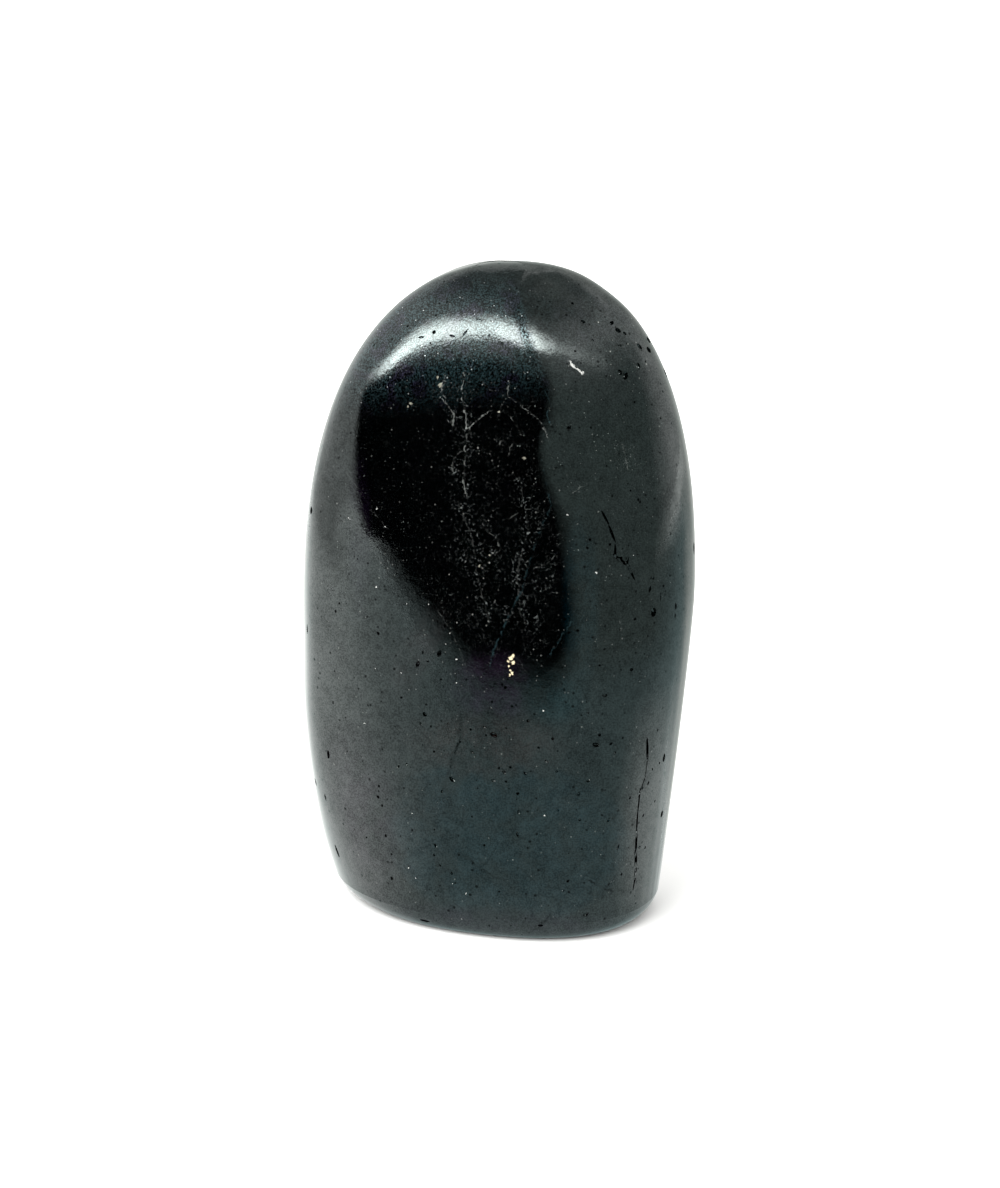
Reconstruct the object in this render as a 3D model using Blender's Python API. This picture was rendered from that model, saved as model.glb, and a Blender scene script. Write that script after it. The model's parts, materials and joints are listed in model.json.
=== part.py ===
"""Polished freeform of black tourmaline: one stone, ground to an upright rounded form and polished.

The stone stands on a sawn flat base. Its broad front leans back a little, a soft ridge parts the
front from the faces at its right, and the top is a dome. Two open cracks, a chip at the base's edge
and scattered pits are left from the rough crystal. Metres, with +Z up. The front faces -Y, and the
origin is the middle of the base.
"""

import math
import random
from collections import namedtuple

import bmesh
import bpy
from mathutils import Vector

# Overall sizes
HEIGHT = 0.0984
BASE_ROUNDING = 0.0032  # radius of the edge round the sawn base
RIDGE_SHARPNESS = 5.8  # how tightly ground faces meet: a higher value gives a sharper ridge
AXIS = Vector((0.0008, -0.0006))  # the faces are ground about this line, which centres the stone
APEX_OFFSET = Vector((0.0020, 0.0018))  # the dome's top stands this far right of the axis, and back
APEX_DRIFT = 4.2  # how late the sections move over towards the apex: 1 is a straight lean

# A ground face, by the way it faces in plan, in degrees from the front towards the right, and by
# its distance from the axis at the foot and at the belly, where the stone is widest. Draw is how
# late the face turns in towards the foot, and 1 is straight. Fullness is the shape of its shoulder:
# 2 is an ellipse, and more is squarer.
GroundFace = namedtuple("GroundFace", "facing foot belly belly_height draw fullness")

GROUND_FACES = (
    GroundFace(0, foot=0.0185, belly=0.0175, belly_height=0.042, draw=2.0, fullness=2.1),
    GroundFace(40, foot=0.0230, belly=0.0255, belly_height=0.042, draw=1.5, fullness=1.8),
    GroundFace(95, foot=0.0245, belly=0.0300, belly_height=0.050, draw=1.2, fullness=2.4),
    GroundFace(155, foot=0.0200, belly=0.0240, belly_height=0.050, draw=1.5, fullness=2.2),
    GroundFace(190, foot=0.0175, belly=0.0190, belly_height=0.050, draw=2.0, fullness=2.2),
    GroundFace(270, foot=0.0275, belly=0.0310, belly_height=0.046, draw=4.0, fullness=2.3),
    GroundFace(320, foot=0.0210, belly=0.0295, belly_height=0.046, draw=2.0, fullness=2.6),
)

# Mesh fineness
SEGMENTS = 64
ROUNDING_RINGS = 4
SIDE_RINGS = 17
DOME_RINGS = 22

# A place on the stone, by the angle from the front towards the right, in degrees, and the height.
Place = namedtuple("Place", "angle height")

# Open cracks, by the places that they run through
Crack = namedtuple("Crack", "name route width depth")

CRACKS = (
    Crack(
        "shoulder_crack",
        (
            Place(59, 0.0655),
            Place(60.2, 0.0630),
            Place(63.2, 0.0611),
            Place(61.2, 0.0598),
            Place(62.4, 0.0587),
            Place(65.2, 0.0577),
            Place(67, 0.0555),
        ),
        width=0.0006,
        depth=0.0010,
    ),
    Crack(
        "foot_crack",
        (
            Place(73, 0.0302),
            Place(73.4, 0.0265),
            Place(73.2, 0.0228),
            Place(72.2, 0.0165),
            Place(72.8, 0.0120),
            Place(73.4, 0.0095),
            Place(72.8, 0.0070),
        ),
        width=0.0007,
        depth=0.0012,
    ),
)

# Pits and chips, by their width across, their height over width, and their depth
Pit = namedtuple("Pit", "place width tallness depth")

PITS = (
    # Along the front's upper edge, under the highlight
    Pit(Place(-44, 0.0883), width=0.0010, tallness=0.8, depth=0.0006),
    Pit(Place(-39, 0.0891), width=0.0012, tallness=0.7, depth=0.0006),
    Pit(Place(-27, 0.0890), width=0.0010, tallness=0.9, depth=0.0005),
    Pit(Place(-19, 0.0896), width=0.0008, tallness=1.0, depth=0.0005),
    Pit(Place(2, 0.0896), width=0.0009, tallness=0.8, depth=0.0005),
    # On the right shoulder
    Pit(Place(93, 0.0907), width=0.0010, tallness=0.9, depth=0.0006),
    Pit(Place(91, 0.0893), width=0.0010, tallness=1.3, depth=0.0006),
    Pit(Place(102, 0.0874), width=0.0012, tallness=0.9, depth=0.0007),
    Pit(Place(97, 0.0863), width=0.0010, tallness=1.0, depth=0.0006),
    Pit(Place(81, 0.0842), width=0.0009, tallness=1.1, depth=0.0005),
    Pit(Place(103, 0.0825), width=0.0013, tallness=1.2, depth=0.0007),
    # On the right face and at its rim
    Pit(Place(66, 0.0404), width=0.0010, tallness=0.8, depth=0.0006),
    Pit(Place(58, 0.0406), width=0.0009, tallness=0.8, depth=0.0005),
    Pit(Place(98, 0.0570), width=0.0013, tallness=1.5, depth=0.0006),
    Pit(Place(101, 0.0490), width=0.0014, tallness=1.2, depth=0.0006),
    Pit(Place(84, 0.0265), width=0.0010, tallness=1.4, depth=0.0006),
    Pit(Place(88, 0.0170), width=0.0010, tallness=1.2, depth=0.0006),
    # On the front
    Pit(Place(-16, 0.0421), width=0.0009, tallness=1.0, depth=0.0005),
    Pit(Place(26, 0.0429), width=0.0013, tallness=1.3, depth=0.0005),
    Pit(Place(-2, 0.0262), width=0.0009, tallness=1.4, depth=0.0005),
    # Down the left side
    Pit(Place(-67, 0.0616), width=0.0012, tallness=0.9, depth=0.0008),
    Pit(Place(-66, 0.0435), width=0.0011, tallness=2.0, depth=0.0005),
    Pit(Place(-57, 0.0251), width=0.0013, tallness=1.6, depth=0.0005),
    Pit(Place(-63, 0.0088), width=0.0017, tallness=2.0, depth=0.0006),
    # Chips at the base's edge
    Pit(Place(-19, 0.0019), width=0.0022, tallness=0.4, depth=0.0006),
    Pit(Place(37, 0.0030), width=0.0014, tallness=0.6, depth=0.0005),
)
PIT_SIDES = 7
PIT_SEED = 3

# How far a cutter stands out of the surface, so that it cuts right through the skin
CUTTER_PROUD = 0.0005


def reach(face, height):
    """How far a ground face stands from the axis at a height."""
    if height < face.belly_height:
        share = (face.belly_height - height) / face.belly_height
        return face.belly - (face.belly - face.foot) * share**face.draw
    share = (height - face.belly_height) / (HEIGHT - face.belly_height)
    return face.belly * (1 - share**face.fullness) ** (1 / face.fullness)


def rounding_inset(height):
    """How far the rounded edge of the base has drawn the section in at a height."""
    if height >= BASE_ROUNDING:
        return 0.0
    below = 1 - height / BASE_ROUNDING
    return BASE_ROUNDING * (1 - math.sqrt(1 - below**2))


def section_radius(angle, height):
    """The section's radius at an angle, where the ground faces blend into each other."""
    blend = 0.0
    for face in GROUND_FACES:
        lean = math.cos(angle - math.radians(face.facing))
        if lean > 0:
            blend += (lean / reach(face, height)) ** RIDGE_SHARPNESS
    return blend ** (-1 / RIDGE_SHARPNESS) - rounding_inset(height)


def surface_point(angle, height):
    """The point of the ground surface at an angle in radians and a height."""
    middle = AXIS + APEX_OFFSET * (height / HEIGHT) ** APEX_DRIFT
    radius = section_radius(angle, height)
    return Vector(
        (middle.x + radius * math.sin(angle), middle.y - radius * math.cos(angle), height)
    )


def surface_frame(place):
    """(point, outward, upward) at a place: two unit vectors, with upward along the surface."""
    angle = math.radians(place.angle)
    small_turn = 0.001
    small_rise = 0.0001
    along = surface_point(angle + small_turn, place.height)
    along -= surface_point(angle - small_turn, place.height)
    up = surface_point(angle, place.height + small_rise)
    up -= surface_point(angle, place.height - small_rise)
    outward = along.cross(up).normalized()
    return surface_point(angle, place.height), outward, up.normalized()


def section_heights():
    """The heights of the sections: round the base's edge, up the sides and over the dome."""
    for step in range(ROUNDING_RINGS):
        turn = math.pi / 2 * step / ROUNDING_RINGS
        yield BASE_ROUNDING * (1 - math.cos(turn))
    dome_start = min(face.belly_height for face in GROUND_FACES)
    for step in range(SIDE_RINGS):
        yield BASE_ROUNDING + (dome_start - BASE_ROUNDING) * step / SIDE_RINGS
    for step in range(DOME_RINGS):
        turn = math.pi / 2 * step / DOME_RINGS
        yield dome_start + (HEIGHT - dome_start) * math.sin(turn)


def ground_body():
    """The stone as ground, before its flaws: level sections, a flat base and the dome's top."""
    mesh = bmesh.new()
    rings = []
    for height in section_heights():
        angles = [2 * math.pi * step / SEGMENTS for step in range(SEGMENTS)]
        rings.append([mesh.verts.new(surface_point(angle, height)) for angle in angles])
    mesh.faces.new(reversed(rings[0]))
    for lower, upper in zip(rings, rings[1:]):
        for step in range(SEGMENTS):
            after = (step + 1) % SEGMENTS
            mesh.faces.new((lower[step], lower[after], upper[after], upper[step]))
    apex = AXIS + APEX_OFFSET
    top = mesh.verts.new((apex.x, apex.y, HEIGHT))
    for step in range(SEGMENTS):
        mesh.faces.new((rings[-1][step], rings[-1][(step + 1) % SEGMENTS], top))
    return mesh


def add_crack(mesh, crack):
    """A wedge along the crack's route, pointed inwards and narrowing to both ends."""
    frames = [surface_frame(place) for place in crack.route]
    points = [point for point, outward, upward in frames]
    last = len(points) - 1
    wedge = []
    for step, (point, outward, upward) in enumerate(frames):
        run = points[min(step + 1, last)] - points[max(step - 1, 0)]
        across = run.cross(outward).normalized()
        share = 0.25 if step in (0, last) else 1.0
        depth = crack.depth * share
        half_width = crack.width * share / 2 * (1 + CUTTER_PROUD / depth)
        lip = point + outward * CUTTER_PROUD
        corners = (lip - across * half_width, lip + across * half_width, point - outward * depth)
        wedge.append([mesh.verts.new(corner) for corner in corners])
    mesh.faces.new(reversed(wedge[0]))
    mesh.faces.new(wedge[-1])
    for here, after in zip(wedge, wedge[1:]):
        for side in range(3):
            turn = (side + 1) % 3
            mesh.faces.new((here[side], here[turn], after[turn], after[side]))


def add_pit(mesh, pit, shape):
    """An uneven double cone through the surface, which breaks out a ragged pit."""
    point, outward, upward = surface_frame(pit.place)
    across = upward.cross(outward)
    rim = []
    for side in range(PIT_SIDES):
        turn = 2 * math.pi * (side + shape.uniform(-0.25, 0.25)) / PIT_SIDES
        radius = pit.width / 2 * shape.uniform(0.75, 1.25)
        spoke = across * math.cos(turn) + upward * (math.sin(turn) * pit.tallness)
        rim.append(mesh.verts.new(point + spoke * radius))
    floor = point - outward * pit.depth
    floor += across * (pit.width * shape.uniform(-0.15, 0.15))
    inner = mesh.verts.new(floor)
    outer = mesh.verts.new(point + outward * CUTTER_PROUD)
    for side in range(PIT_SIDES):
        after = (side + 1) % PIT_SIDES
        mesh.faces.new((rim[side], rim[after], outer))
        mesh.faces.new((rim[after], rim[side], inner))


def crack_cutters():
    mesh = bmesh.new()
    for crack in CRACKS:
        add_crack(mesh, crack)
    return mesh


def pit_cutters():
    mesh = bmesh.new()
    shape = random.Random(PIT_SEED)
    for pit in PITS:
        add_pit(mesh, pit, shape)
    return mesh


def add_object(name, mesh):
    """Links a new object that holds the mesh, with its faces pointing out."""
    bmesh.ops.recalc_face_normals(mesh, faces=mesh.faces)
    data = bpy.data.meshes.new(name)
    mesh.to_mesh(data)
    mesh.free()
    made = bpy.data.objects.new(name, data)
    bpy.context.scene.collection.objects.link(made)
    return made


def cut(stone, cutter):
    """Takes a helper's shape out of the stone, and hides the helper."""
    cutter.hide_render = True
    cutter.display_type = "WIRE"
    difference = stone.modifiers.new(cutter.name, "BOOLEAN")
    difference.operation = "DIFFERENCE"
    difference.object = cutter


def tourmaline_material():
    """Polished black tourmaline."""
    material = bpy.data.materials.new("black_tourmaline")
    material.use_nodes = True
    shader = material.node_tree.nodes["Principled BSDF"]
    shader.inputs["Base Color"].default_value = (0.005, 0.006, 0.007, 1)
    shader.inputs["Roughness"].default_value = 0.15
    shader.inputs["Metallic"].default_value = 0.0
    shader.inputs["IOR"].default_value = 1.63
    return material


def clear_scene():
    for old in list(bpy.data.objects):
        bpy.data.objects.remove(old)


def build():
    clear_scene()
    stone = add_object("tourmaline", ground_body())
    stone.data.materials.append(tourmaline_material())
    stone.data.shade_smooth()
    cut(stone, add_object("cracks", crack_cutters()))
    cut(stone, add_object("pits", pit_cutters()))


build()
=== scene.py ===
"""The black tourmaline freeform as photographed: a polished stone on a white table in a light tent."""

import json
import math
import random
from types import SimpleNamespace

import bpy
from mathutils import Matrix, Vector

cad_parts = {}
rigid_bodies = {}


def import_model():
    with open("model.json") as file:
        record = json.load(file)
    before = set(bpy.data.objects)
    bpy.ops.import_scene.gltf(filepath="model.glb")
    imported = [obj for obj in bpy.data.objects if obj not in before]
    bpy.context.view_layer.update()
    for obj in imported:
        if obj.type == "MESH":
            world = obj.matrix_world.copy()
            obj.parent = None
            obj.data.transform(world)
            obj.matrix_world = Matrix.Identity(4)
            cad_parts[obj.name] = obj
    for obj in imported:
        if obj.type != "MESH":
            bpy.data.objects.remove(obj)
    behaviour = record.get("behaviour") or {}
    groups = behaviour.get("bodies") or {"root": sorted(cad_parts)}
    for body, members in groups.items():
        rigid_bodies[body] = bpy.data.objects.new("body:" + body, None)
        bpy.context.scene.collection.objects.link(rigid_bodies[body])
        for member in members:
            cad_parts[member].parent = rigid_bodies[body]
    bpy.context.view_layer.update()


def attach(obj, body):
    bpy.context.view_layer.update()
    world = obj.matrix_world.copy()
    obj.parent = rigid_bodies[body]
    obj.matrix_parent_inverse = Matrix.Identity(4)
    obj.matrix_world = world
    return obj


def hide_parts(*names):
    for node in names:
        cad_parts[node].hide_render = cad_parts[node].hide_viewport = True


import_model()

STONE_NODE = "tourmaline"
MM = 0.001

# The photograph's camera
LENS_MM = 100.0
SENSOR_MM = 36.0
CAMERA_AZIMUTH = 20.0  # degrees from the front towards the right
CAMERA_ELEVATION = 15.0
CAMERA_DISTANCE = 0.494
LOOK_AT = Vector((0.0008, -0.0006, 0.0484))

# The stone as ground
GRIND_AXIS = Vector((0.0008, -0.0006, 0.0))
BASE_ROUNDING = 3.2 * MM
HEART = Vector((0.0, 0.0, 0.050))
FRONT_TURN = 20.0  # degrees that the ridged front is turned from the frame's front towards the right


def direction(azimuth, elevation):
    """A unit vector, from degrees round from the front towards the right and degrees up."""
    turn = math.radians(azimuth)
    rise = math.radians(elevation)
    return Vector(
        (math.sin(turn) * math.cos(rise), -math.cos(turn) * math.cos(rise), math.sin(rise))
    )


def deselect_all():
    bpy.ops.object.select_all(action="DESELECT")


def select_only(piece):
    deselect_all()
    piece.select_set(True)
    bpy.context.view_layer.objects.active = piece


def apply_modifiers(piece):
    select_only(piece)
    for modifier in list(piece.modifiers):
        bpy.ops.object.modifier_apply(modifier=modifier.name)


def settle(piece):
    """Puts the piece's place into its mesh, which leaves its object at the origin."""
    select_only(piece)
    bpy.ops.object.transform_apply(location=True, rotation=True, scale=True)


# Camera


def add_camera():
    lens = bpy.data.cameras.new("camera")
    lens.lens = LENS_MM
    lens.sensor_width = SENSOR_MM
    camera = bpy.data.objects.new("camera", lens)
    bpy.context.scene.collection.objects.link(camera)
    back = direction(CAMERA_AZIMUTH, CAMERA_ELEVATION)
    camera.location = LOOK_AT + back * CAMERA_DISTANCE
    camera.rotation_euler = back.to_track_quat("Z", "Y").to_euler()
    bpy.context.scene.camera = camera


# The polished body

BODY_SIDES = 64
SIDE_RINGS = 16
DOME_RINGS = 16
CAGE_RADII = (0.036, 0.026)  # the cage stands round the stone, and is then drawn in onto it
CAGE_DOME_START = 0.052
CAGE_DOME_RISE = 0.054
CAGE_DOME_END = 83.0  # degrees up the dome, where the cap's grid takes over
CAP_SPAN = 16
FOOT_HEIGHT = BASE_ROUNDING + 0.2 * MM
FOOT_TURNS = (10, 25, 40, 55, 70, 90)  # degrees round the sawn edge, from the flat
CAP_SMOOTHED_FROM = 0.0935
CAP_SMOOTHINGS = 20
CORNER_MERGE = 0.002 * MM
CUT_EDGE = 19  # a fold of more degrees than this is a cut's edge
FLAT_INSETS = (0.8 * MM, 2.5 * MM)  # the flat's rings, each in from the last
# The lower left side, which the photograph shows a little fuller; the push is in mm
LEFT_FOOT_BOTTOM = 8 * MM
LEFT_FOOT_TOP = 28 * MM
LEFT_FOOT_FROM = -24 * MM
LEFT_FOOT_PUSH = 0.35
LEFT_FOOT_REACH = 14 * MM


def select_verts(piece, wanted):
    """In edit mode, selects just the vertices whose place passes the test."""
    bpy.ops.mesh.select_all(action="DESELECT")
    bpy.ops.object.mode_set(mode="OBJECT")
    for vertex in piece.data.vertices:
        vertex.select = wanted(vertex.co)
    bpy.ops.object.mode_set(mode="EDIT")


def selected_box(piece):
    """(lowest, highest) corner of the selected vertices, in edit mode."""
    piece.update_from_editmode()
    points = [vertex.co for vertex in piece.data.vertices if vertex.select]
    low = Vector([min(point[axis] for point in points) for axis in range(3)])
    high = Vector([max(point[axis] for point in points) for axis in range(3)])
    return low, high


def raise_cage():
    """An upright cage round the stone: a ring drawn up, closed to a dome and capped by a grid."""
    foot = [BASE_ROUNDING * (1 - math.cos(math.radians(turn))) for turn in FOOT_TURNS]
    deselect_all()
    bpy.ops.mesh.primitive_circle_add(
        vertices=BODY_SIDES, radius=1.0, location=(GRIND_AXIS.x, GRIND_AXIS.y, foot[0])
    )
    cage = bpy.context.object
    cage.name = "tourmaline_body"
    cage.scale = (CAGE_RADII[0], CAGE_RADII[1], 1.0)
    settle(cage)
    bpy.ops.object.mode_set(mode="EDIT")
    bpy.ops.mesh.select_all(action="SELECT")
    climb = [above - below for below, above in zip(foot, foot[1:])]
    climb += [FOOT_HEIGHT - foot[-1]]
    climb += [(CAGE_DOME_START - FOOT_HEIGHT) / SIDE_RINGS] * SIDE_RINGS
    for rise in climb:
        bpy.ops.mesh.extrude_region_move(TRANSFORM_OT_translate={"value": (0, 0, rise)})
    for step in range(DOME_RINGS):
        before = math.radians(CAGE_DOME_END) * step / DOME_RINGS
        after = math.radians(CAGE_DOME_END) * (step + 1) / DOME_RINGS
        rise = CAGE_DOME_RISE * (math.sin(after) - math.sin(before))
        shrink = math.cos(after) / math.cos(before)
        bpy.ops.mesh.extrude_region_move(TRANSFORM_OT_translate={"value": (0, 0, rise)})
        bpy.ops.transform.resize(value=(shrink, shrink, 1), center_override=GRIND_AXIS)
    bpy.ops.mesh.fill_grid(span=CAP_SPAN)
    bpy.ops.mesh.select_all(action="SELECT")
    bpy.ops.mesh.normals_make_consistent(inside=False)
    bpy.ops.object.mode_set(mode="OBJECT")
    return cage


def copy_of_stone(name):
    """A merged copy of the CAD stone, as its own object."""
    node = bpy.data.objects[STONE_NODE]
    copy = node.copy()
    copy.data = node.data.copy()
    copy.name = name
    bpy.context.scene.collection.objects.link(copy)
    select_only(copy)
    bpy.ops.object.mode_set(mode="EDIT")
    bpy.ops.mesh.select_mode(type="VERT")
    bpy.ops.mesh.select_all(action="SELECT")
    bpy.ops.mesh.remove_doubles(threshold=CORNER_MERGE)
    bpy.ops.object.mode_set(mode="OBJECT")
    return copy


def heal_cuts(guide):
    """Takes the pits' and cracks' walls out of the guide and closes their mouths."""
    select_only(guide)
    bpy.ops.object.mode_set(mode="EDIT")
    bpy.ops.mesh.select_mode(type="EDGE")
    bpy.ops.mesh.select_all(action="DESELECT")
    bpy.ops.mesh.edges_select_sharp(sharpness=math.radians(CUT_EDGE))
    bpy.ops.mesh.mark_sharp()
    bpy.ops.mesh.select_mode(type="FACE")
    bpy.ops.mesh.select_all(action="DESELECT")
    bpy.ops.object.mode_set(mode="OBJECT")
    top = max(guide.data.polygons, key=lambda face: face.center.z)
    top.select = True
    bpy.ops.object.mode_set(mode="EDIT")
    bpy.ops.mesh.select_linked(delimit={"SHARP"})
    bpy.ops.mesh.select_all(action="INVERT")
    bpy.ops.mesh.delete(type="FACE")
    bpy.ops.mesh.select_mode(type="VERT")
    bpy.ops.mesh.select_all(action="SELECT")
    bpy.ops.mesh.fill_holes(sides=0)
    bpy.ops.mesh.select_mode(type="EDGE")
    bpy.ops.mesh.select_all(action="DESELECT")
    bpy.ops.mesh.select_non_manifold(use_wire=False, use_multi_face=False, use_non_contiguous=False)
    guide.update_from_editmode()
    if any(edge.select for edge in guide.data.edges):
        bpy.ops.mesh.fill(use_beauty=True)
    bpy.ops.mesh.select_all(action="SELECT")
    bpy.ops.mesh.normals_make_consistent(inside=False)
    bpy.ops.mesh.quads_convert_to_tris()
    bpy.ops.object.mode_set(mode="OBJECT")


def draw_onto_stone(cage):
    """Draws the cage in along its normals until it lies on the stone without its cuts."""
    guide = copy_of_stone("guide")
    heal_cuts(guide)
    fit = cage.modifiers.new("fit", "SHRINKWRAP")
    fit.target = guide
    fit.wrap_method = "PROJECT"
    fit.use_negative_direction = True
    fit.use_positive_direction = False
    apply_modifiers(cage)
    bpy.data.objects.remove(guide)


def close_the_foot(body):
    """Closes the sawn flat, in from the lowest ring of the rounded edge."""
    lowest = BASE_ROUNDING * (1 - math.cos(math.radians(FOOT_TURNS[0])))
    select_only(body)
    bpy.ops.object.mode_set(mode="EDIT")
    bpy.ops.mesh.select_mode(type="VERT")
    select_verts(body, lambda place: place.z < lowest + 0.01 * MM)
    insets = (BASE_ROUNDING * math.sin(math.radians(FOOT_TURNS[0])), *FLAT_INSETS)
    for width, drop in zip(insets, (lowest, 0.0, 0.0)):
        low, high = selected_box(body)
        half = (high - low) / 2
        shrink = (1 - width / half.x, 1 - width / half.y, 1)
        bpy.ops.mesh.extrude_region_move(TRANSFORM_OT_translate={"value": (0, 0, -drop)})
        bpy.ops.transform.resize(value=shrink, center_override=(low + high) / 2)
    bpy.ops.mesh.fill_grid(span=CAP_SPAN)
    bpy.ops.mesh.select_all(action="SELECT")
    bpy.ops.mesh.normals_make_consistent(inside=False)
    bpy.ops.object.mode_set(mode="OBJECT")


def fill_out_the_left_foot(body):
    """Eases the lower left side out by the little that the photograph shows."""
    select_only(body)
    bpy.ops.object.mode_set(mode="EDIT")
    select_verts(
        body,
        lambda place: LEFT_FOOT_BOTTOM < place.z < LEFT_FOOT_TOP and place.x < LEFT_FOOT_FROM,
    )
    bpy.ops.transform.translate(
        value=direction(FRONT_TURN - 90, 0) * LEFT_FOOT_PUSH * MM,
        use_proportional_edit=True,
        proportional_edit_falloff="SMOOTH",
        proportional_size=LEFT_FOOT_REACH,
    )
    bpy.ops.object.mode_set(mode="OBJECT")


def polish(body):
    """Subdivides the body to a smooth skin that still passes through its vertices."""
    select_only(body)
    bpy.ops.object.mode_set(mode="EDIT")
    bpy.ops.mesh.select_mode(type="VERT")
    select_verts(body, lambda place: place.z > CAP_SMOOTHED_FROM)
    for _ in range(CAP_SMOOTHINGS):
        bpy.ops.mesh.vertices_smooth(factor=0.5)
        bpy.ops.mesh.vertices_smooth(factor=-0.53)
    select_verts(body, lambda place: place.z > BASE_ROUNDING - 0.1 * MM)
    bpy.ops.mesh.vertices_smooth(factor=-0.667)
    bpy.ops.object.mode_set(mode="OBJECT")
    smooth = body.modifiers.new("smooth", "SUBSURF")
    smooth.levels = 2
    smooth.render_levels = 2
    apply_modifiers(body)
    bpy.ops.object.shade_smooth()


def make_body():
    body = raise_cage()
    draw_onto_stone(body)
    close_the_foot(body)
    fill_out_the_left_foot(body)
    polish(body)
    return body


# Pits and cracks

APEX_OFFSET = Vector((0.0020, 0.0018, 0.0))  # the dome's top stands right of the axis, and back
APEX_DRIFT = 4.2
STONE_HEIGHT = 0.0984
BEFORE_THE_STONE = 0.1
CHIP_SHAPES = 5
CHIP_PROUD = 0.12  # of its depth, how far a chip's middle stands out of the surface
GOUGE_OVERLAP = 1.1 * MM
GOUGE_DEPTH = 0.9 * MM
PIT_RAGGED = 0.24
CRACK_RAGGED = 0.11

# Pits on the front, read off the photograph: mm across its view and up from the base, length
# and width in mm, and the turn of the length from upright towards the right, in degrees
FRONT_PITS = (
    # in and round the highlight
    (-10.9, 88.4, 1.0, 0.4, 80),
    (-9.0, 89.2, 0.7, 0.6, 0),
    (-6.4, 88.9, 1.0, 0.4, 100),
    (-4.5, 89.4, 1.1, 0.4, 30),
    (-2.6, 91.3, 0.8, 0.3, 95),
    (-1.0, 89.3, 0.4, 0.4, 0),
    # on the right shoulder
    (10.4, 77.0, 0.8, 0.6, 40),
    (12.5, 91.0, 0.8, 0.6, 120),
    (13.9, 88.5, 0.5, 0.4, 0),
    (16.7, 90.5, 0.9, 0.6, 60),
    (17.6, 89.5, 1.0, 0.8, 130),
    (18.6, 89.0, 0.7, 0.5, 150),
    (17.8, 87.5, 1.0, 0.4, 95),
    (20.8, 87.0, 1.2, 0.7, 150),
    (20.6, 84.5, 1.2, 0.6, 10),
    (17.8, 84.0, 0.9, 0.8, 0),
    (18.6, 83.5, 1.4, 0.9, 30),
    # down the right face
    (20.4, 66.5, 0.5, 0.4, 0),
    (22.7, 55.0, 0.5, 0.4, 0),
    (22.2, 53.5, 1.0, 0.5, 20),
    (23.8, 52.0, 1.4, 0.3, 0),
    (22.8, 50.0, 1.5, 1.1, 0),
    (26.2, 50.0, 1.1, 0.5, 0),
    (26.1, 48.5, 0.7, 0.4, 0),
    (20.0, 49.5, 0.5, 0.5, 0),
    (15.6, 45.5, 0.4, 0.4, 0),
    (19.6, 42.0, 0.6, 0.5, 90),
    (15.7, 38.5, 0.9, 0.5, 90),
    (9.8, 39.5, 0.5, 0.4, 0),
    (13.3, 36.0, 0.5, 0.4, 0),
    # across the middle of the front
    (-8.3, 43.5, 1.2, 0.7, 20),
    (-11.5, 41.5, 1.1, 0.6, 20),
    (-10.5, 34.0, 0.8, 0.6, 140),
    (-11.1, 32.5, 0.5, 0.4, 0),
    (-7.0, 33.0, 0.5, 0.3, 100),
    (-1.7, 33.0, 0.6, 0.3, 110),
    (-0.4, 32.0, 1.3, 0.8, 110),
    (4.6, 34.5, 0.5, 0.5, 0),
    (8.2, 32.0, 0.5, 0.5, 0),
    (15.0, 32.5, 0.5, 0.5, 0),
    (14.5, 31.0, 1.2, 0.7, 110),
    (16.7, 31.0, 0.6, 0.4, 60),
    (17.3, 29.5, 0.5, 0.4, 0),
    (-3.5, 29.0, 0.7, 0.4, 110),
    (7.3, 28.5, 0.7, 0.4, 120),
    (8.8, 27.0, 0.4, 0.4, 0),
    (-13.2, 26.0, 0.5, 0.4, 0),
    (1.1, 26.5, 1.2, 0.5, 145),
    (4.2, 26.5, 0.7, 0.4, 140),
    (13.4, 25.5, 0.6, 0.5, 40),
    (-0.4, 25.0, 0.8, 0.5, 100),
    (-6.5, 24.5, 1.1, 0.6, 130),
    # towards the foot
    (12.0, 23.5, 0.7, 0.4, 10),
    (-8.0, 22.5, 0.5, 0.4, 0),
    (3.3, 20.5, 0.9, 0.5, 5),
    (9.0, 21.0, 0.4, 0.4, 0),
    (12.2, 19.5, 0.5, 0.4, 0),
    (16.4, 19.0, 0.4, 0.4, 0),
    (3.1, 17.0, 1.0, 0.4, 160),
    (17.9, 14.5, 0.8, 0.4, 15),
    (-9.0, 14.0, 1.0, 0.4, 145),
    (-9.2, 12.5, 0.4, 0.4, 0),
    (-8.3, 11.0, 0.5, 0.3, 140),
    (-6.6, 10.0, 0.5, 0.4, 0),
    (18.5, 10.0, 0.5, 0.4, 0),
    (9.8, 8.5, 0.5, 0.4, 60),
    (13.2, 4.5, 0.9, 0.7, 60),
    # beside the foot crack
    (23.7, 31.5, 0.5, 0.3, 0),
    (24.1, 26.0, 0.4, 0.4, 0),
    (23.0, 25.5, 0.6, 0.3, 150),
    (22.4, 23.5, 0.7, 0.4, 20),
    (21.5, 23.0, 0.5, 0.4, 0),
    (19.6, 22.0, 0.5, 0.4, 0),
    (23.5, 20.0, 0.5, 0.4, 0),
    (21.7, 18.5, 0.5, 0.4, 0),
    (21.2, 13.5, 0.6, 0.5, 60),
    (22.1, 13.0, 0.5, 0.4, 0),
)

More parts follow.
